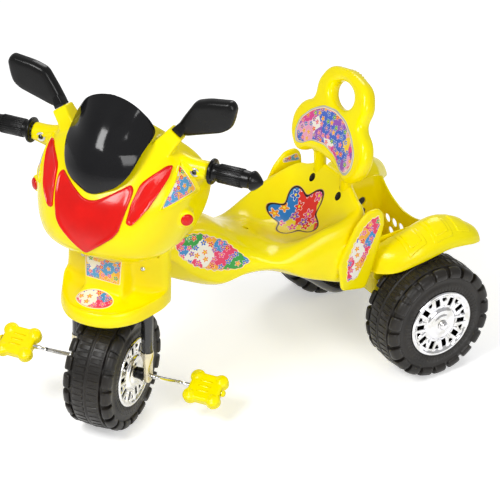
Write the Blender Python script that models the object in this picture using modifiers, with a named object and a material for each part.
"""Child's pedal tricycle with a motorbike look, metres, +Z up, rider facing -Y.

The frame carries the seat body, the backrest and the basket with its wheel wings. The fork carries the
nose cowl, the column with the mudguard and the front wheel, whose crank turns with it. The model stands
with the handlebar turned to the rider's left.
"""
import bpy
import bmesh
from math import atan2, cos, pi, radians, sin, sqrt
from mathutils import Matrix, Vector

for old in list(bpy.data.objects):
    bpy.data.objects.remove(old, do_unlink=True)

# Driving sizes
wheel_radius = 0.100
wheelbase = 0.503
rear_track = 0.308
rake = radians(3.65)
steer_turn = radians(34.0)
seat_gap = 0.0003          # between pieces that lie on each other
run_gap = 0.0005           # between pieces that turn on each other

collection = bpy.data.collections.new("tricycle")
cutters = bpy.data.collections.new("cutters")
bpy.context.scene.collection.children.link(collection)
bpy.context.scene.collection.children.link(cutters)


def finish_of(name, colour, roughness, metallic=0.0):
    material = bpy.data.materials.new(name)
    material.use_nodes = True
    shader = material.node_tree.nodes["Principled BSDF"]
    shader.inputs["Base Color"].default_value = (*colour, 1.0)
    shader.inputs["Roughness"].default_value = roughness
    shader.inputs["Metallic"].default_value = metallic
    return material


yellow_plastic = finish_of("yellow_plastic", (0.95, 0.80, 0.01), 0.22)
red_plastic = finish_of("red_plastic", (0.75, 0.01, 0.01), 0.15)
black_plastic = finish_of("black_plastic", (0.012, 0.012, 0.013), 0.35)
tyre_plastic = finish_of("tyre_plastic", (0.022, 0.020, 0.018), 0.45)
smoked_plastic = finish_of("smoked_plastic", (0.010, 0.010, 0.012), 0.08)
chromed_plastic = finish_of("chromed_plastic", (0.80, 0.80, 0.82), 0.10, 1.0)
zinc_steel = finish_of("zinc_steel", (0.62, 0.62, 0.63), 0.32, 1.0)
black_steel = finish_of("black_steel", (0.015, 0.015, 0.016), 0.30, 0.2)


# Placing and joining

def joint_empty(name, parent=None, location=(0, 0, 0), turn=(0, 0, 0)):
    empty = bpy.data.objects.new(name, None)
    collection.objects.link(empty)
    empty.parent = parent
    empty.location = location
    empty.rotation_euler = turn
    return empty


def add_piece(name, mesh, finish, parent, location=(0, 0, 0), turn=(0, 0, 0)):
    piece = bpy.data.objects.new(name, mesh)
    collection.objects.link(piece)
    piece.parent = parent
    piece.location = location
    piece.rotation_euler = turn
    if finish and not mesh.materials:
        mesh.materials.append(finish)
    return piece


def combine(piece, tool, operation="DIFFERENCE"):
    """Cut the piece by the tool, or weld the tool to it."""
    if tool.name in collection.objects:
        collection.objects.unlink(tool)
        cutters.objects.link(tool)
    tool.hide_render = True
    tool.display_type = "WIRE"
    step = piece.modifiers.new(tool.name, "BOOLEAN")
    step.operation = operation
    step.object = tool
    step.solver = "EXACT"


# Shapes

def lofted_mesh(name, rings, ring_closed=True, run_closed=False):
    """A skin through rings of points; an open run of closed rings gets its two ends filled."""
    shape = bmesh.new()
    rows = [[shape.verts.new(point) for point in ring] for ring in rings]
    runs = list(zip(rows, rows[1:] + rows[:1] if run_closed else rows[1:]))
    for near, far in runs:
        count = len(near)
        for i in range(count if ring_closed else count - 1):
            j = (i + 1) % count
            shape.faces.new((near[i], near[j], far[j], far[i]))
    if ring_closed and not run_closed:
        shape.faces.new(rows[0])
        shape.faces.new(rows[-1])
    bmesh.ops.recalc_face_normals(shape, faces=shape.faces)
    mesh = bpy.data.meshes.new(name)
    shape.to_mesh(mesh)
    shape.free()
    mesh.shade_smooth()
    mesh.set_sharp_from_angle(angle=radians(35))
    return mesh


def smooth_rows(keys, steps):
    """Rows between the key rows, on a Catmull-Rom curve through them."""
    rows = []
    for i in range(len(keys) - 1):
        before, start = keys[max(i - 1, 0)], keys[i]
        end, after = keys[i + 1], keys[min(i + 2, len(keys) - 1)]
        for step in range(steps):
            t = step / steps
            rows.append(tuple(
                0.5 * (2 * b + (c - a) * t + (2 * a - 5 * b + 4 * c - d) * t ** 2
                       + (3 * b - a - 3 * c + d) * t ** 3)
                for a, b, c, d in zip(before, start, end, after)))
    rows.append(tuple(keys[-1]))
    return rows


def turned(name, profile, finish, parent, location=(0, 0, 0), turn=(0, 0, 0), steps=20, ring=False):
    """A piece turned about its Z axis; the profile of (radius, height) runs top to bottom outside."""
    edges = [(i, i + 1) for i in range(len(profile) - 1)]
    if ring:
        edges.append((len(profile) - 1, 0))
    mesh = bpy.data.meshes.new(name)
    mesh.from_pydata([(radius, 0, height) for radius, height in profile], edges, [])
    piece = add_piece(name, mesh, finish, parent, location, turn)
    spin = piece.modifiers.new("turn", "SCREW")
    spin.steps = steps
    spin.render_steps = steps
    spin.use_merge_vertices = True
    spin.merge_threshold = 0.0001
    spin.use_smooth_shade = True
    return piece


def rod(name, points, radius, finish, parent, location=(0, 0, 0), resolution=2):
    """A bent round bar or tube with filled ends, as a welded mesh."""
    path = bpy.data.curves.new(name, "CURVE")
    path.dimensions = "3D"
    path.bevel_depth = radius
    path.bevel_resolution = resolution
    path.use_fill_caps = True
    spline = path.splines.new("POLY")
    spline.points.add(len(points) - 1)
    for slot, point in zip(spline.points, points):
        slot.co = (*point, 1.0)
    return welded_piece(name, path, finish, parent, location)


def plate(name, outlines, thickness, finish, parent, location=(0, 0, 0), turn=(0, 0, 0), edge=0.0,
          rounded=False, resolution=4):
    """A flat piece: its first outline is the edge, further ones are holes; rounded ones are smooth."""
    shape = bpy.data.curves.new(name, "CURVE")
    shape.dimensions = "2D"
    shape.fill_mode = "BOTH"
    shape.extrude = thickness / 2 - edge
    shape.bevel_depth = edge
    shape.bevel_resolution = 1 if edge else 0
    shape.offset = -edge
    shape.resolution_u = resolution
    for outline in outlines:
        if rounded:
            spline = shape.splines.new("BEZIER")
            spline.bezier_points.add(len(outline) - 1)
            for slot, (x, y) in zip(spline.bezier_points, outline):
                slot.co = (x, y, 0)
                slot.handle_left_type = "AUTO"
                slot.handle_right_type = "AUTO"
        else:
            spline = shape.splines.new("POLY")
            spline.points.add(len(outline) - 1)
            for slot, (x, y) in zip(spline.points, outline):
                slot.co = (x, y, 0, 1)
        spline.use_cyclic_u = True
    return welded_piece(name, shape, finish, parent, location, turn)


def welded_piece(name, curve, finish, parent, location=(0, 0, 0), turn=(0, 0, 0)):
    draft = bpy.data.objects.new(name + "_draft", curve)
    collection.objects.link(draft)
    ready = draft.evaluated_get(bpy.context.evaluated_depsgraph_get())
    mesh = bpy.data.meshes.new_from_object(ready)
    bpy.data.objects.remove(draft)
    shape = bmesh.new()
    shape.from_mesh(mesh)
    bmesh.ops.remove_doubles(shape, verts=shape.verts, dist=0.00002)
    bmesh.ops.recalc_face_normals(shape, faces=shape.faces)
    shape.to_mesh(mesh)
    shape.free()
    mesh.name = name
    mesh.shade_smooth()
    mesh.set_sharp_from_angle(angle=radians(35))
    return add_piece(name, mesh, finish, parent, location, turn)


def cylinder(name, radius, length, finish, parent, location, turn=(0, 0, 0), sides=16, top_radius=None):
    shape = bmesh.new()
    bmesh.ops.create_cone(shape, cap_ends=True, segments=sides, radius1=radius,
                          radius2=radius if top_radius is None else top_radius, depth=length)
    mesh = bpy.data.meshes.new(name)
    shape.to_mesh(mesh)
    shape.free()
    mesh.shade_smooth()
    mesh.set_sharp_from_angle(angle=radians(35))
    return add_piece(name, mesh, finish, parent, location, turn)


def block(name, size, finish, parent, location, turn=(0, 0, 0)):
    shape = bmesh.new()
    bmesh.ops.create_cube(shape, size=1.0)
    bmesh.ops.scale(shape, vec=size, verts=shape.verts)
    mesh = bpy.data.meshes.new(name)
    shape.to_mesh(mesh)
    shape.free()
    return add_piece(name, mesh, finish, parent, location, turn)


def side_name(side):
    return "left" if side > 0 else "right"


def facing(side):
    """The turn that lays a piece's Z axis along the axle, outwards on the given side."""
    return (0, side * pi / 2, 0)


# Joints and the frame that they hang from
tricycle = joint_empty("tricycle")
rake_frame = joint_empty("rake_frame", tricycle, (0, -wheelbase / 2, wheel_radius), (-rake, 0, 0))
steering = joint_empty("steering", rake_frame, turn=(0, 0, steer_turn))
front_axle = joint_empty("front_axle", steering)
rear_axles = {side: joint_empty("rear_axle_" + side_name(side), tricycle,
                                (side * rear_track / 2, wheelbase / 2, wheel_radius)) for side in (1, -1)}

# Wheels: a blown tyre with a crowned tread and shoulder lugs, a moulded hub and pressed-in caps
tyre_half_width = 0.042
tread_half_width = 0.025
tyre_bore = 0.0585
lug_count = 20
lug_depth = 0.0030
hub_radius = tyre_bore - seat_gap
hub_half_width = 0.0345
rod_radius = 0.0038
hub_bore = rod_radius + run_gap
cap_face = 0.0095
cap_windows = 10


def tyre(name, parent):
    rings = []
    for step in range(2 * lug_count):
        angle = 2 * pi * step / (2 * lug_count)
        half = []
        for side in (1, -1):
            groove = lug_depth if (step + (side < 0)) % 2 == 0 else 0.0
            half.append([
                (tyre_bore, tyre_half_width - 0.0010),
                (0.073, tyre_half_width - groove),
                (0.088 - groove / 2, 0.0400 - groove),
                (0.0962 - groove, 0.0318),
                (0.0938, tread_half_width + 0.002),
                (wheel_radius - 0.0013, tread_half_width)])
        profile = half[0] + [(wheel_radius, 0.0)] + [(r, -x) for r, x in reversed(half[1])]
        rings.append([(r * cos(angle), r * sin(angle), x) for r, x in profile])
    return add_piece(name, lofted_mesh(name, rings, run_closed=True), tyre_plastic, parent, turn=facing(1))


def hub(name, parent):
    dish = [(hub_radius, hub_half_width), (0.0540, hub_half_width), (0.0500, 0.0160), (0.0180, 0.0140),
            (0.0140, hub_half_width), (hub_bore, hub_half_width)]
    half = list(reversed(dish))
    profile = half + [(r, -x) for r, x in dish]
    return turned(name, profile, black_plastic, parent, turn=facing(1), steps=16, ring=True)


def wheel_cap(name, parent, side):
    """A chromed cap: rim band, dished spoke ring with windows, and a domed centre."""
    back = hub_half_width + seat_gap
    face = back + cap_face
    profile = [(hub_bore, face), (0.0110, face - 0.0010), (0.0200, face - 0.0073),
               (0.0480, face - 0.0068), (0.0545, face - 0.0022), (hub_radius, face - 0.0035),
               (hub_radius, back), (hub_bore, back)]
    cap = turned(name, profile, chromed_plastic, parent, turn=facing(side), steps=16, ring=True)
    slots = bmesh.new()
    for number in range(cap_windows):
        angle = 2 * pi * (number + 0.25) / cap_windows
        made = bmesh.ops.create_cube(slots, size=1.0)["verts"]
        bmesh.ops.scale(slots, vec=(0.021, 0.0085, 0.03), verts=made)
        bmesh.ops.translate(slots, vec=(0.0355, 0, back), verts=made)
        bmesh.ops.rotate(slots, verts=made, cent=(0, 0, 0), matrix=Matrix.Rotation(angle, 3, "Z"))
    mesh = bpy.data.meshes.new(name + "_windows")
    slots.to_mesh(mesh)
    slots.free()
    combine(cap, add_piece(name + "_windows", mesh, None, parent, turn=facing(side)))
    return cap


# Rear wheels on a fixed axle rod
axle_tube_radius = 0.011
axle_tube_half = 0.1055
spacer_radius = 0.0090
cap_outer = hub_half_width + seat_gap + cap_face
for side in (1, -1):
    axle = rear_axles[side]
    label = side_name(side)
    tyre("rear_tyre_" + label, axle)
    hub("rear_hub_" + label, axle)
    wheel_cap("rear_cap_" + label, axle, side)
    spacer = rear_track / 2 - hub_half_width - axle_tube_half - 2 * seat_gap
    turned("rear_spacer_" + label,
           [(spacer_radius, spacer), (spacer_radius, 0), (rod_radius + seat_gap, 0),
            (rod_radius + seat_gap, spacer)],
           black_plastic, tricycle,
           (side * (axle_tube_half + seat_gap), wheelbase / 2, wheel_radius), facing(side), steps=14,
           ring=True)
    nut_seat = rear_track / 2 + cap_outer + seat_gap
    turned("axle_nut_" + label,
           [(0, 0.0075), (0.0045, 0.0065), (0.0078, 0.0035), (0.0090, 0), (rod_radius + seat_gap, 0),
            (rod_radius + seat_gap, 0.0042), (0, 0.0042)],
           chromed_plastic, tricycle, (side * nut_seat, wheelbase / 2, wheel_radius), facing(side), steps=14)
axle_rod_half = rear_track / 2 + cap_outer + 0.0035
cylinder("rear_axle_rod", rod_radius, 2 * axle_rod_half, zinc_steel, tricycle,
         (0, wheelbase / 2, wheel_radius), facing(1))

# Front wheel with its cranked rod straight through the hub
crank_length = 0.0657
crank_angle = atan2(-0.036, 0.055)
crank_corner = 0.0775
pedal_centre = 0.1390
pedal_waist = 0.0288
pedal_nut_seat = pedal_centre + pedal_waist + run_gap
spindle_end = pedal_nut_seat + 0.0027
tyre("front_tyre", front_axle)
hub("front_hub", front_axle)
for side in (1, -1):
    wheel_cap("front_cap_" + side_name(side), front_axle, side)
crank_reach = Vector((0, crank_length * cos(crank_angle), crank_length * sin(crank_angle)))
crank_bend = 0.0060
half_crank = [Vector((crank_corner - crank_bend, 0, 0)),
              Vector((crank_corner, 0, 0)) + crank_reach.normalized() * crank_bend * 0.35,
              Vector((crank_corner + crank_bend * 0.4, 0, 0)) + crank_reach.normalized() * crank_bend,
              crank_reach * 0.90 + Vector((crank_corner + 0.0130, 0, 0)),
              crank_reach * 0.97 + Vector((crank_corner + 0.0155, 0, 0)),
              crank_reach + Vector((crank_corner + 0.0210, 0, 0)),
              crank_reach + Vector((spindle_end, 0, 0))]
crank_path = [Vector((-p.x, -p.y, -p.z)) for p in reversed(half_crank)] + half_crank
rod("crank", crank_path, rod_radius, zinc_steel, front_axle)

# Pedals: moulded four-lobed blocks that turn on the rod's ends
pedal_thickness = 0.0170
pedal_tilt = radians(28)
lobe_radius = 0.0125
lobe_offset = (0.0200, 0.0175)


def pedal_outline():
    """Four round lobes joined by shallow waists, as one closed line."""
    points = []
    for quarter in range(4):
        middle = pi / 4 + quarter * pi / 2
        centre_x = lobe_offset[0] * (1 if cos(middle) > 0 else -1)
        centre_y = lobe_offset[1] * (1 if sin(middle) > 0 else -1)
        for step in range(5):
            angle = middle + radians(-92 + 46 * step)
            points.append((centre_x + lobe_radius * cos(angle), centre_y + lobe_radius * sin(angle)))
    return points


pedal_pivots = {}
for side in (1, -1):
    label = side_name(side)
    pivot = joint_empty("pedal_axis_" + label, front_axle,
                        (side * pedal_centre, side * crank_reach.y, side * crank_reach.z),
                        (pedal_tilt, 0, 0))
    pedal_pivots[side] = pivot
    block_piece = plate("pedal_" + label, [pedal_outline()], pedal_thickness, yellow_plastic, pivot, edge=0.003)
    combine(block_piece, cylinder("pedal_bore_" + label, rod_radius + run_gap, 0.12, None, pivot, (0, 0, 0),
                                  facing(1)))
    grip_slots = bmesh.new()
    for face in (1, -1):
        for number in (-1, 0, 1):
            made = bmesh.ops.create_cube(grip_slots, size=1.0)["verts"]
            bmesh.ops.scale(grip_slots, vec=(0.0200, 0.0045, 0.0050), verts=made)
            bmesh.ops.translate(grip_slots, vec=(0, number * 0.0095, face * pedal_thickness / 2), verts=made)
    slot_mesh = bpy.data.meshes.new("pedal_slots_" + label)
    grip_slots.to_mesh(slot_mesh)
    grip_slots.free()
    combine(block_piece, add_piece("pedal_slots_" + label, slot_mesh, None, pivot))
    turned("pedal_nut_" + label,
           [(0, 0.0060), (0.0050, 0.0050), (0.0072, 0), (rod_radius + seat_gap, 0),
            (rod_radius + seat_gap, 0.0050 - 0.0020), (0, 0.0030)],
           black_plastic, front_axle,
           (side * pedal_nut_seat, side * crank_reach.y, side * crank_reach.z), facing(side), steps=12)

# Fork: steerer, crown and two legs welded, with flattened zinc ends
leg_offset = 0.0610
leg_radius = 0.0095
leg_foot = 0.0410
crown_height = 0.1280
crown_thickness = 0.0080
steerer_radius = 0.0120
steerer_top = 0.3020
fork_end_thickness = 0.0050
fork_end_bore = 0.0062
crown_top = crown_height + crown_thickness / 2
fork = cylinder("fork", steerer_radius, steerer_top - crown_height, black_steel, steering,
                (0, 0, (steerer_top + crown_height) / 2), sides=20)
combine(fork, block("fork_crown", (2 * (leg_offset + 0.0130), 0.0260, crown_thickness), None, steering,
                    (0, 0, crown_height)), "UNION")
for side in (1, -1):
    leg_top = crown_height + 0.002
    combine(fork, cylinder("fork_leg_" + side_name(side), leg_radius, leg_top - leg_foot, None, steering,
                           (side * leg_offset, 0, (leg_top + leg_foot) / 2)), "UNION")
stem_radius = 0.0085
combine(fork, cylinder("stem_socket", stem_radius + seat_gap, 0.0500, None, steering, (0, 0, steerer_top)))

for side in (1, -1):
    label = side_name(side)
    middle = side * leg_offset
    outline = [(-0.0095, leg_foot - seat_gap), (-0.0095, 0)]
    outline += [(0.0095 * cos(a), 0.0110 * sin(a)) for a in (radians(d) for d in range(210, 331, 24))]
    outline += [(0.0095, 0), (0.0095, leg_foot - seat_gap)]
    end = plate("fork_end_" + label, [outline], fork_end_thickness, zinc_steel, steering,
                (middle, 0, 0), (pi / 2, 0, pi / 2))
    combine(end, cylinder("fork_end_bore_" + label, fork_end_bore, 0.03, None, steering, (middle, 0, 0),
                          facing(1)))
    flange = fork_end_thickness / 2 + seat_gap
    turned("fork_bush_" + label,
           [(0.0085, flange + 0.0015), (0.0085, flange), (fork_end_bore - seat_gap, flange),
            (fork_end_bore - seat_gap, -flange + seat_gap), (rod_radius + run_gap, -flange + seat_gap),
            (rod_radius + run_gap, flange + 0.0015)],
           black_plastic, steering, (middle, 0, 0), facing(side), steps=16, ring=True)
    bush_inner = cap_outer + seat_gap
    bush_length = leg_offset - fork_end_thickness / 2 - bush_inner - run_gap
    turned("hub_bush_" + label,
           [(0.0095, bush_length), (0.0095, 0), (rod_radius + seat_gap, 0), (rod_radius + seat_gap, bush_length)],
           black_plastic, front_axle, (side * bush_inner, 0, 0), facing(side), steps=14, ring=True)

# Main frame: head tube, backbone and rear axle tube welded, with two bushes for the steerer
head_tube_radius = 0.0170
head_tube_bore = 0.0143
head_bottom = crown_top + 0.0060
head_top = 0.2050
bush_flange = 0.0020
backbone_radius = 0.0140
backbone_points = [(0, -0.2360, 0.2720), (0, -0.1200, 0.2620), (0, -0.0200, 0.2270), (0, 0.0600, 0.1890),
                   (0, 0.1200, 0.1480), (0, 0.1600, 0.1120), (0, 0.1850, 0.1010), (0, wheelbase / 2, 0.1000)]
backbone_path = smooth_rows(backbone_points, 2)
main_frame = rod("main_frame", backbone_path, backbone_radius, black_steel, tricycle)
combine(main_frame, cylinder("head_tube", head_tube_radius, head_top - head_bottom, None, rake_frame,
                             (0, 0, (head_top + head_bottom) / 2), sides=20), "UNION")
combine(main_frame, cylinder("head_tube_bore", head_tube_bore, 0.2, None, rake_frame,
                             (0, 0, (head_top + head_bottom) / 2), sides=20))
combine(main_frame, cylinder("axle_tube", axle_tube_radius, 2 * axle_tube_half, None, tricycle,
                             (0, wheelbase / 2, wheel_radius), facing(1), sides=20), "UNION")
combine(main_frame, cylinder("axle_tube_bore", rod_radius + seat_gap, 0.4, None, tricycle,
                             (0, wheelbase / 2, wheel_radius), facing(1)))
bush_outer = head_tube_bore * cos(pi / 20) - seat_gap
for name, base, way in (("head_bush_lower", head_bottom, 1), ("head_bush_upper", head_top, -1)):
    turned(name, [(bush_outer, 0.0140), (bush_outer, -seat_gap), (head_tube_radius, -seat_gap),
                  (head_tube_radius, -seat_gap - bush_flange), (steerer_radius + run_gap, -seat_gap - bush_flange),
                  (steerer_radius + run_gap, 0.0140)],
           black_plastic, rake_frame, (0, 0, base), (0 if way > 0 else pi, 0, 0), steps=16,
           ring=True)
collar_base = head_top + bush_flange + 2 * seat_gap
turned("steering_collar", [(0.0165, 0.0080), (0.0165, 0), (steerer_radius + seat_gap, 0),
                           (steerer_radius + seat_gap, 0.0080)],
       zinc_steel, steering, (0, 0, collar_base), ring=True)

# Handlebar: steel bar with a welded stem, held in the steerer and in the cowl's arms
bar_radius = 0.0080
bar_back = 0.0300
bar_height = 0.3710
bar_half = 0.2300
arm_radius = 0.0138
arm_end = 0.1500
handlebar = cylinder("handlebar", bar_radius, 2 * bar_half, zinc_steel, steering, (0, bar_back, bar_height),
                     facing(1))
stem_points = [(0, 0, steerer_top - 0.0240), (0, 0, steerer_top + 0.0150), (0, 0.0080, 0.3400),
               (0, bar_back - 0.0040, bar_height - 0.0080), (0, bar_back, bar_height)]
combine(handlebar, rod("handlebar_stem", stem_points, stem_radius, None, steering), "UNION")

grip_start = arm_end + 0.0020
for side in (1, -1):
    label = side_name(side)
    bore = bar_radius + seat_gap
    tip = 0.0860
    turned("grip_" + label,
           [(0, tip), (0.0040, tip - 0.0030), (0.0150, tip - 0.0110), (0.0178, tip - 0.0170),
            (0.0165, tip - 0.0230), (0.0145, tip - 0.0270), (0.0165, 0.0420), (0.0160, 0.0200),
            (0.0140, 0.0070), (0.0205, 0.0050), (0.0210, 0), (bore, 0), (bore, bar_half - grip_start + 0.001),
            (0, bar_half - grip_start + 0.001)],
           black_plastic, steering, (side * grip_start, bar_back, bar_height), facing(side), steps=12)

# Nose cowl: blown yellow head, described by height, front, rear and half width
cowl_keys = [(0.222, -0.050, 0.036, 0.078), (0.245, -0.082, 0.072, 0.108), (0.270, -0.093, 0.094, 0.120),
             (0.300, -0.090, 0.105, 0.127), (0.330, -0.080, 0.104, 0.129), (0.355, -0.062, 0.090, 0.124),
             (0.380, -0.040, 0.072, 0.112), (0.400, -0.024, 0.058, 0.088), (0.418, -0.008, 0.046, 0.058),
             (0.434, 0.008, 0.034, 0.026)]
cowl_power = 2.4
cowl_rear_power = 6.0
cowl_widest = 0.67         # share of its length, from the front, at which the cowl is widest
cowl_sides = 20
cowl_rows = smooth_rows(cowl_keys, 2)


def cowl_ring(height, front, rear, half_width):
    """A ring that is round in front and boxy behind its widest place."""
    widest = front + cowl_widest * (rear - front)
    ring = []
    for number in range(cowl_sides):
        angle = 2 * pi * number / cowl_sides
        behind = sin(angle) >= 0
        power = cowl_rear_power if behind else cowl_power
        reach = (rear if behind else front) - widest
        u = half_width * abs(cos(angle)) ** (2 / power) * (1 if cos(angle) >= 0 else -1)
        ring.append((u, widest + reach * abs(sin(angle)) ** (2 / power), height))
    return ring


def cowl_front(u, height):
    """How far forward the cowl's face lies at a place across and up."""
    rows = [row for row in cowl_rows if row[0] >= height]
    above = rows[0]
    below = cowl_rows[max(cowl_rows.index(above) - 1, 0)]
    share = (height - below[0]) / (above[0] - below[0]) if above is not below else 0.0
    front, rear, half_width = (low + (high - low) * share for low, high in zip(below[1:], above[1:]))
    widest = front + cowl_widest * (rear - front)
    return widest + (front - widest) * (1 - min(abs(u) / half_width, 0.999) ** cowl_power) ** (1 / cowl_power)


cowl = add_piece("nose_cowl", lofted_mesh("nose_cowl", [cowl_ring(*row) for row in cowl_rows]),
                 yellow_plastic, steering)
socket_foot = Vector((0.0720, 0.0180, 0.3920))
socket_top = Vector((0.0980, 0.0240, 0.4270))
socket_side = 0.0210
lamp_pod_face = Vector((0.1290, -0.0040, 0.3000))
lamp_out = radians(32)
pod_length = 0.0200
for side in (1, -1):
    label = side_name(side)
    combine(cowl, cylinder("cowl_arm_" + label, arm_radius, 0.0700, None, steering,
                           (side * (arm_end - 0.0350), bar_back, bar_height), facing(1)), "UNION")
    along = Vector(((socket_top - socket_foot).x * side, (socket_top - socket_foot).y,
                    (socket_top - socket_foot).z))
    middle = (socket_foot + socket_top) / 2
    tilt = along.to_track_quat("Z", "Y").to_euler()
    combine(cowl, block("mirror_socket_" + label, (socket_side, socket_side, along.length), None, steering,
                        (side * middle.x, middle.y, middle.z), tilt), "UNION")
    out = Vector((side * cos(lamp_out), -sin(lamp_out), 0))
    face = Vector((side * lamp_pod_face.x, lamp_pod_face.y, lamp_pod_face.z))
    combine(cowl, cylinder("lamp_pod_" + label, 0.0105, pod_length, None, steering, face - out * pod_length / 2,
                           out.to_track_quat("Z", "Y").to_euler(), sides=14), "UNION")
combine(cowl, cylinder("steerer_bore", steerer_radius + seat_gap, 2 * 0.09, None, steering,
                       (0, 0, steerer_top - 0.0890), sides=20))
combine(cowl, rod("stem_bore", stem_points[:-1] + [(0, bar_back, bar_height + 0.004)], stem_radius + 0.0015,
                  None, steering))
combine(cowl, cylinder("bar_bore", bar_radius + seat_gap + 0.0002, 0.40, None, steering,
                       (0, bar_back, bar_height), facing(1)))

# Bar fasteners on the arms, mirrors in their sockets, lamps in their pods
for side in (1, -1):
    label = side_name(side)
    washer_front = bar_back - arm_radius - seat_gap
    turned("bar_washer_" + label, [(0.0075, 0.0010), (0.0075, 0), (0.0024, 0), (0.0024, 0.0010)],
           zinc_steel, steering, (side * 0.1310, washer_front, bar_height), (pi / 2, 0, 0), ring=True, steps=16)
    turned("bar_screw_" + label, [(0, 0.0032), (0.0025, 0.0028), (0.0042, 0.0010), (0.0042, 0), (0, 0)],
           zinc_steel, steering, (side * 0.1310, washer_front - 0.0010 - seat_gap, bar_height),
           (pi / 2, 0, 0), steps=12)

    mirror_outline = [(0.0915, 0.4290), (0.1250, 0.4830), (0.1470, 0.4900), (0.1860, 0.4950), (0.1930, 0.4850),
                      (0.1840, 0.4500), (0.1710, 0.4410), (0.1080, 0.4215)]
    lean = Vector(((socket_top - socket_foot).x * side, (socket_top - socket_foot).y,
                   (socket_top - socket_foot).z)).normalized()
    mirror = plate("mirror_" + label, [[(side * u, h) for u, h in mirror_outline]], 0.0150, black_plastic,
                   steering, (0, 0.0280, 0), (pi / 2, 0, 0), edge=0.0045, rounded=True, resolution=2)
    neck_top = Vector((side * socket_top.x, socket_top.y, socket_top.z)) + lean * 0.0080
    neck_foot = Vector((side * socket_top.x, socket_top.y, socket_top.z)) + lean * seat_gap
    neck = (neck_top + neck_foot) / 2
    combine(mirror, block("mirror_neck_" + label, (socket_side - 0.003, socket_side - 0.003, 0.0080 - seat_gap),
                          None, steering, neck, lean.to_track_quat("Z", "Y").to_euler()), "UNION")
    combine(mirror, block("mirror_trim_" + label, (0.06, 0.06, 0.02), None, steering,
                          Vector((side * socket_top.x, socket_top.y, socket_top.z)) + lean * (seat_gap - 0.0100),
                          lean.to_track_quat("Z", "Y").to_euler()))

    out = Vector((side * cos(lamp_out), -sin(lamp_out), 0))
    lamp_seat = Vector((side * lamp_pod_face.x, lamp_pod_face.y, lamp_pod_face.z)) + out * seat_gap
    turned("turn_lamp_" + label, [(0, 0.0045), (0.0050, 0.0038), (0.0088, 0.0018), (0.0098, 0), (0, 0)],
           red_plastic, steering, lamp_seat, out.to_track_quat("Z", "Y").to_euler(), steps=12)

# Red panels: moulded skins that follow the cowl's face
panel_thickness = 0.0030
panel_lift = panel_thickness / 2 + 0.0007


def cowl_panel(name, columns, rows=7):
    """A skin over the cowl between a lower and an upper height in each column."""
    grid = []
    for u, low, high in columns:
        line = []
        for row in range(rows):
            height = low + (high - low) * row / (rows - 1)
            face = cowl_front(u, height)
            across = (cowl_front(abs(u) + 0.001, height) - face) / 0.001
            upward = (cowl_front(u, height + 0.001) - face) / 0.001
            line.append((u, face - panel_lift * sqrt(1 + across ** 2 + upward ** 2), height))
        grid.append(line)
    piece = add_piece(name, lofted_mesh(name, grid, ring_closed=False), red_plastic, steering)
    wall = piece.modifiers.new("wall", "SOLIDIFY")
    wall.thickness = panel_thickness
    wall.offset = 0.0
    return piece


front_columns = [(u, 0.2560 + 0.0300 * (abs(u) / 0.050) ** 1.15, 0.3250 + 0.0330 * (abs(u) / 0.058))
                 for u in (-0.050, -0.040, -0.028, -0.014, 0, 0.014, 0.028, 0.040, 0.050)]
front_edge = [(0.058, 0.3120, 0.3580)]
cowl_panel("front_panel", [(-u, low, high) for u, low, high in front_edge] + front_columns + front_edge)
for side in (1, -1):
    columns = [(0.0640, 0.3060, 0.3360), (0.0720, 0.3060, 0.3620), (0.0800, 0.3160, 0.3660),
               (0.0880, 0.3300, 0.3690), (0.0960, 0.3480, 0.3710)]
    cowl_panel("side_panel_" + side_name(side), [(side * u, low, high) for u, low, high in columns])

# Windscreen: a blown smoked dome, by height, half width, middle and edge depth
screen_keys = [(0.3450, 0.006, -0.0716, -0.0716), (0.3520, 0.022, -0.0726, -0.0682),
               (0.3620, 0.040, -0.0728, -0.0620), (0.3790, 0.054, -0.0705, -0.0500),
               (0.4050, 0.0630, -0.0632, -0.0275), (0.4230, 0.0670, -0.0525, 0.0080),
               (0.4400, 0.0590, -0.0390, 0.0110), (0.4610, 0.0400, -0.0160, 0.0020),
               (0.4760, 0.0120, -0.0020, 0.0000)]
screen_rings = []
for height, half, middle, edge in screen_keys:
    screen_rings.append([(half * s / 4, middle + (edge - middle) * abs(s / 4) ** 2.2, height)
                         for s in range(-4, 5)])
windscreen = add_piece("windscreen", lofted_mesh("windscreen", screen_rings, ring_closed=False),
                       smoked_plastic, steering)
screen_wall = windscreen.modifiers.new("wall", "SOLIDIFY")
screen_wall.thickness = 0.0025
screen_wall.offset = 0.0

# Column and mudguard: one blown shell, open below and behind. Above, a flat plate with a spine down its
# middle; below, it swells into a round mudguard. Each key: height, half width, front, rear, roundness
column_top = cowl_keys[0][0] - 0.0016
column_wall = 0.0030
plate_front = -0.0070
spine_half = 0.0335
column_screw = (0.0576, 0.1900)   # across and up, on the plate
column_keys = [(column_top, 0.0800, -0.0390, 0.0330, 0.0), (0.1900, 0.0810, -0.0370, 0.0340, 0.0),
               (0.1680, 0.0820, -0.0370, 0.0350, 0.0), (0.1590, 0.0822, -0.0540, 0.0350, 0.60),
               (0.1480, 0.0825, -0.0760, 0.0350, 0.95), (0.1400, 0.0830, -0.0850, 0.0350, 1.0),
               (0.1290, 0.0830, -0.0880, 0.0340, 1.0), (0.1200, 0.0825, -0.0870, 0.0330, 1.0)]


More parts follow.
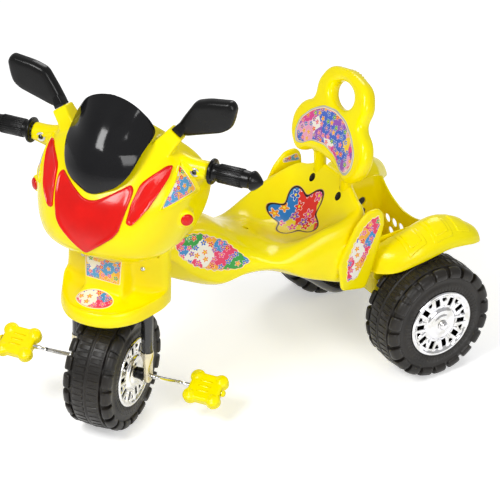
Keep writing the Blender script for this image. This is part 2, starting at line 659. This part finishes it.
def column_ring(height, half, front, rear, roundness):
    """The section at one height: from plate and spine to a round front, as roundness goes from 0 to 1."""
    stepped = [(-half, 0.0100), (-half, -0.0010), (-half + 0.0060, plate_front), (-0.0600, plate_front),
               (-spine_half - 0.0030, plate_front), (-spine_half, front + 0.0015), (0.0, front)]
    stepped += [(-u, b) for u, b in reversed(stepped[:-1])]
    ring = [(-half, rear, height)]
    for number, (u, b) in enumerate(stepped):
        angle = pi - pi * number / (len(stepped) - 1)
        round_u = half * abs(cos(angle)) ** 0.88 * (1 if cos(angle) >= 0 else -1)
        round_b = front * sin(angle) ** 0.88
        ring.append((u + (round_u - u) * roundness, b + (round_b - b) * roundness, height))
    ring.append((half, rear, height))
    return ring


column_rings = [column_ring(*row) for row in column_keys]
mudguard = add_piece("mudguard", lofted_mesh("mudguard", column_rings, ring_closed=False), yellow_plastic,
                     steering)
mudguard_wall = mudguard.modifiers.new("wall", "SOLIDIFY")
mudguard_wall.thickness = column_wall
mudguard_wall.offset = 0.0
for side in (1, -1):
    block_at = leg_offset + 0.0130 + seat_gap
    width = 0.0815 - block_at
    boss = block("mudguard_boss_" + side_name(side), (width, 0.0180, 0.0120), None, steering,
                 (side * (block_at + width / 2), 0, crown_height))
    combine(mudguard, boss, "UNION")
    turned("mudguard_screw_" + side_name(side), [(0, 0.0024), (0.0030, 0.0018), (0.0042, 0), (0, 0)],
           zinc_steel, steering,
           (side * column_screw[0], plate_front - column_wall / 2 - seat_gap, column_screw[1]),
           (pi / 2, 0, 0), steps=12)

# Seat body: neck, bucket seat and side wings in one moulding.
# Each key: top place, low place, half width, then the heights of middle, ridge, low side and keel
seat_keys = [
    (-0.2120, -0.2120, 0.030, 0.295, 0.291, 0.272, 0.262),
    (-0.1650, -0.1650, 0.040, 0.312, 0.304, 0.284, 0.246),
    (-0.1200, -0.1200, 0.046, 0.327, 0.318, 0.243, 0.220),
    (-0.0750, -0.0750, 0.057, 0.318, 0.306, 0.217, 0.200),
    (-0.0300, -0.0300, 0.073, 0.286, 0.272, 0.229, 0.204),
    (0.0100, 0.0100, 0.092, 0.267, 0.256, 0.230, 0.204),
    (0.0500, 0.0500, 0.104, 0.246, 0.266, 0.206, 0.190),
    (0.0900, 0.0900, 0.112, 0.240, 0.279, 0.189, 0.176),
    (0.1250, 0.1150, 0.118, 0.254, 0.286, 0.180, 0.168),
    (0.1520, 0.1350, 0.119, 0.290, 0.292, 0.176, 0.164),
    (0.1720, 0.1450, 0.110, 0.320, 0.296, 0.176, 0.165),
    (0.1830, 0.1520, 0.098, 0.314, 0.286, 0.184, 0.174)]


def seat_ring(top_y, low_y, half, middle, ridge, low, keel):
    half_ring = [(0.0, middle), (0.36, middle + 0.10 * (ridge - middle)), (0.66, middle + 0.72 * (ridge - middle)),
                 (0.82, ridge), (0.93, ridge - 0.15 * (ridge - low)), (1.0, (ridge + low) / 2),
                 (0.97, low + 0.15 * (ridge - low)), (0.86, low), (0.40, keel + 0.002), (0.0, keel)]
    points = [(share * half, height) for share, height in half_ring]
    points += [(-x, height) for x, height in reversed(points[1:-1])]
    top = max(middle, ridge)
    return [(x, low_y + (top_y - low_y) * (z - keel) / (top - keel), z) for x, z in points]


seat_rings = [seat_ring(*row) for row in smooth_rows(seat_keys, 2)]
seat_body = add_piece("seat_body", lofted_mesh("seat_body", seat_rings), yellow_plastic, tricycle)
wing_outline = [(0.1780, 0.3070), (0.1870, 0.2960), (0.1890, 0.2770), (0.1780, 0.2380), (0.1620, 0.1920),
                (0.1510, 0.1670), (0.1140, 0.1800), (0.1060, 0.2330), (0.1350, 0.2860), (0.1560, 0.3070)]
wing_thickness = 0.0070
wing_face = 0.1250
for side in (1, -1):
    combine(seat_body, plate("side_wing_" + side_name(side), [wing_outline], wing_thickness, None, tricycle,
                             (side * (wing_face - wing_thickness / 2), 0, 0), (pi / 2, 0, pi / 2)), "UNION")
channel_top = []
for before, here, after in zip(backbone_path, backbone_path[1:], backbone_path[2:]):
    along = Vector((after[1] - before[1], after[2] - before[2])).normalized()
    channel_top.append(tuple(Vector(here[1:]) + Vector((-along.y, along.x)) * (backbone_radius + 0.0012)))
channel = [(-0.30, channel_top[0][1] + 0.0080)] + channel_top + [(0.30, 0.05), (-0.30, 0.05)]
combine(seat_body, plate("frame_channel", [channel], 2 * (backbone_radius + run_gap), None, tricycle,
                         (0, 0, 0), (pi / 2, 0, pi / 2)))
seat_screw_y = 0.0030
screw_top = 0.2600
combine(seat_body, cylinder("seat_screw_hole", 0.0052, 0.10, None, tricycle, (0, seat_screw_y, screw_top + 0.05),
                            sides=12))
combine(seat_body, cylinder("seat_screw_shank_hole", 0.0028, 0.08, None, tricycle, (0, seat_screw_y, screw_top),
                            sides=12))
turned("seat_screw", [(0, 0.0025), (0.0035, 0.0018), (0.0048, 0), (0.0024, 0), (0.0024, -0.0235), (0, -0.0235)],
       zinc_steel, tricycle, (0, seat_screw_y, screw_top + seat_gap), steps=12)

# Backrest: blown plate with two lobes and a carrying loop, on two posts that stand in the seat
recline = radians(22)
back_thickness = 0.0260
post_radius = 0.0105
post_place = (0.0380, 0.1700)
post_foot = 0.2700
back_foot = (0.1600, 0.3500)
half_back = [(0.0, 0.002), (0.036, 0.000), (0.070, -0.020), (0.098, 0.003), (0.105, 0.035), (0.092, 0.062),
             (0.067, 0.077), (0.066, 0.107), (0.049, 0.138), (0.0, 0.149)]
back_outline = half_back + [(-x, t) for x, t in reversed(half_back[1:-1])]
loop_middle, loop_half_width, loop_half_height = 0.1070, 0.0310, 0.0210
loop_outline = [(loop_half_width * cos(a), loop_middle + loop_half_height * sin(a))
                for a in (2 * pi * n / 8 for n in range(8))]
backrest = plate("backrest", [back_outline, loop_outline], back_thickness, yellow_plastic, tricycle,
                 (0, back_foot[0], back_foot[1]), (pi / 2 - recline, 0, 0), edge=0.008, rounded=True, resolution=2)
for side in (1, -1):
    post_top = 0.3800
    combine(backrest, cylinder("back_post_" + side_name(side), post_radius, post_top - post_foot, None, tricycle,
                               (side * post_place[0], post_place[1] + 0.0020, (post_top + post_foot) / 2)),
            "UNION")
    combine(seat_body, cylinder("post_socket_" + side_name(side), post_radius + seat_gap, 0.1200, None, tricycle,
                                (side * post_place[0], post_place[1] + 0.0020, post_foot - seat_gap + 0.06)))
    combine(seat_body, cylinder("post_notch_" + side_name(side), 0.0010, 0.0360, None, tricycle,
                                (side * post_place[0], post_place[1] - 0.0130, 0.3050),
                                (radians(24), 0, 0), sides=8, top_radius=0.0075))

# Basket: a moulded tub with vent holes, and a wing over each rear wheel on its side walls
tub_wall = 0.0030
tub_half_width = 0.0880
tub_front = 0.1930
tub_rear = 0.3230
tub_floor = wheel_radius + backbone_radius + 0.0016
tub_rim = 0.2280
hole_radius = 0.0080
hole_pitch = 0.0200
tub_corner = 0.0150


def tub_box(name, inset, base, top):
    """A box with rounded uprights, the tub's outside or its hollow."""
    shape = bmesh.new()
    bmesh.ops.create_cube(shape, size=1.0)
    bmesh.ops.scale(shape, vec=(2 * (tub_half_width - inset), tub_rear - tub_front - 2 * inset, top - base),
                    verts=shape.verts)
    uprights = [edge for edge in shape.edges if abs(edge.verts[0].co.z - edge.verts[1].co.z) > (top - base) / 2]
    bmesh.ops.bevel(shape, geom=uprights, offset=tub_corner - inset, segments=3, profile=0.5, affect="EDGES")
    mesh = bpy.data.meshes.new(name)
    shape.to_mesh(mesh)
    shape.free()
    return add_piece(name, mesh, yellow_plastic, tricycle, (0, (tub_front + tub_rear) / 2, (base + top) / 2))


carrier = tub_box("rear_carrier", 0.0, tub_floor, tub_rim)

# Each key: place, inner and outer reach, inner and outer edge height, crest height, slant of the front
wing_keys = [
    (0.1940, 0.1000, 0.215, 0.190, 0.262, 0.30), (0.2010, 0.1280, 0.220, 0.188, 0.272, 0.30),
    (0.2160, 0.1540, 0.222, 0.194, 0.277, 0.22), (0.2420, 0.1680, 0.222, 0.206, 0.274, 0.08),
    (0.2850, 0.1700, 0.222, 0.211, 0.263, 0.0), (0.3150, 0.1680, 0.218, 0.209, 0.249, 0.0),
    (0.3380, 0.1620, 0.207, 0.205, 0.229, 0.0),
    (0.3600, 0.1500, 0.2000, 0.2000, 0.2080, 0.0)]
wing_inner = tub_half_width - tub_wall / 2
wing_tip_inner = 0.1180
crest_line = 0.2770
for side in (1, -1):
    rings = []
    for y, outer, inner_z, outer_z, crest, slant in smooth_rows(wing_keys, 2):
        tail = max(0.0, (y - tub_rear) / (wing_keys[-1][0] - tub_rear))
        inner = wing_inner + (wing_tip_inner - wing_inner) * tail
        line = []
        for step in range(7):
            angle = pi * step / 6
            level = inner_z + (outer_z - inner_z) * step / 6
            peak = crest - (inner_z + outer_z) / 2
            z = level + peak * sin(angle) ** 0.85
            x = (inner + outer) / 2 - (outer - inner) / 2 * cos(angle)
            line.append((side * x, y + slant * (z - crest_line), z))
        rings.append(line)
    wing = add_piece("wheel_wing_" + side_name(side), lofted_mesh("wheel_wing", rings, ring_closed=False),
                     yellow_plastic, tricycle)
    shell = wing.modifiers.new("wall", "SOLIDIFY")
    shell.thickness = tub_wall
    shell.offset = 0.0
    combine(wing, tub_box("tub_place_" + side_name(side), -seat_gap, tub_floor - 0.0500, tub_rim + 0.1000))
combine(carrier, tub_box("tub_hollow", tub_wall, tub_floor + tub_wall, tub_rim + 0.1000))

vents = bmesh.new()


def vent_row(places, across):
    for place in places:
        made = bmesh.ops.create_cone(vents, cap_ends=True, segments=6, radius1=hole_radius,
                                     radius2=hole_radius, depth=0.0200)["verts"]
        axis_turn = Vector(across).to_track_quat("Z", "Y")
        for vert in made:
            vert.co.rotate(axis_turn)
            vert.co += Vector(place)


for height, count in ((0.1540, 7), (0.1330, 6)):
    vent_row([((n - (count - 1) / 2) * hole_pitch, tub_rear, height) for n in range(count)], (0, 1, 0))
    for side in (1, -1):
        vent_row([(side * tub_half_width, 0.2450 + n * hole_pitch, height + 0.0320) for n in range(3)],
                 (1, 0, 0))
vent_mesh = bpy.data.meshes.new("vent_holes")
vents.to_mesh(vent_mesh)
vents.free()
combine(carrier, add_piece("vent_holes", vent_mesh, None, tricycle))
dip_radius = 0.1000
combine(carrier, cylinder("rear_rim_dip", dip_radius, 0.0600, None, tricycle,
                          (0, tub_rear + 0.0100, 0.1890 + dip_radius), (pi / 2, 0, 0), sides=32))

# Saddles that carry the basket on the axle tube, with their screws
saddle_thickness = 0.0080
saddle_inner = tub_half_width + seat_gap
for side in (1, -1):
    label = side_name(side)
    outline = [(0.1860, 0.1990), (0.1860, 0.1600), (0.2050, 0.1350), (0.2330, 0.0960), (0.2440, 0.0850),
               (0.2590, 0.0850), (0.2700, 0.0960), (0.2850, 0.1400), (0.2850, 0.1690), (0.2100, 0.1690),
               (0.2100, 0.1990)]
    middle = side * (saddle_inner + saddle_thickness / 2)
    saddle = plate("axle_saddle_" + label, [outline], saddle_thickness, yellow_plastic, tricycle,
                   (middle, 0, 0), (pi / 2, 0, pi / 2))
    combine(saddle, cylinder("saddle_bore_" + label, axle_tube_radius + seat_gap, 0.05, None, tricycle,
                             (middle, wheelbase / 2, wheel_radius), facing(1), sides=20))
    turned("saddle_screw_" + label, [(0, 0.0026), (0.0030, 0.0020), (0.0045, 0), (0, 0)],
           zinc_steel, tricycle, (side * (saddle_inner + saddle_thickness + seat_gap), 0.1980, 0.1520),
           facing(side), steps=12)

# The origin lies under the middle of the whole box, on the ground
bpy.context.view_layer.update()
graph = bpy.context.evaluated_depsgraph_get()
corners = []
for piece in collection.objects:
    if piece.type == "MESH":
        shown = piece.evaluated_get(graph)
        mesh = shown.to_mesh()
        corners += [shown.matrix_world @ vert.co for vert in mesh.vertices]
        shown.to_mesh_clear()
low = [min(corner[axis] for corner in corners) for axis in range(3)]
high = [max(corner[axis] for corner in corners) for axis in range(3)]
tricycle.location = (-(low[0] + high[0]) / 2, -(low[1] + high[1]) / 2, -low[2])
bpy.context.view_layer.update()
print("origin offset", tuple(round(value, 5) for value in tricycle.location))
print("size", tuple(round(high[axis] - low[axis], 4) for axis in range(3)))
for label, empty in (("steering", steering), ("pedal_left", pedal_pivots[1]), ("pedal_right", pedal_pivots[-1]),
                     ("rear_left", rear_axles[1]), ("rear_right", rear_axles[-1])):
    print(label, tuple(round(value, 5) for value in empty.matrix_world.translation),
          tuple(round(value, 5) for value in empty.matrix_world.to_3x3().col[0]),
          tuple(round(value, 5) for value in empty.matrix_world.to_3x3().col[2]))
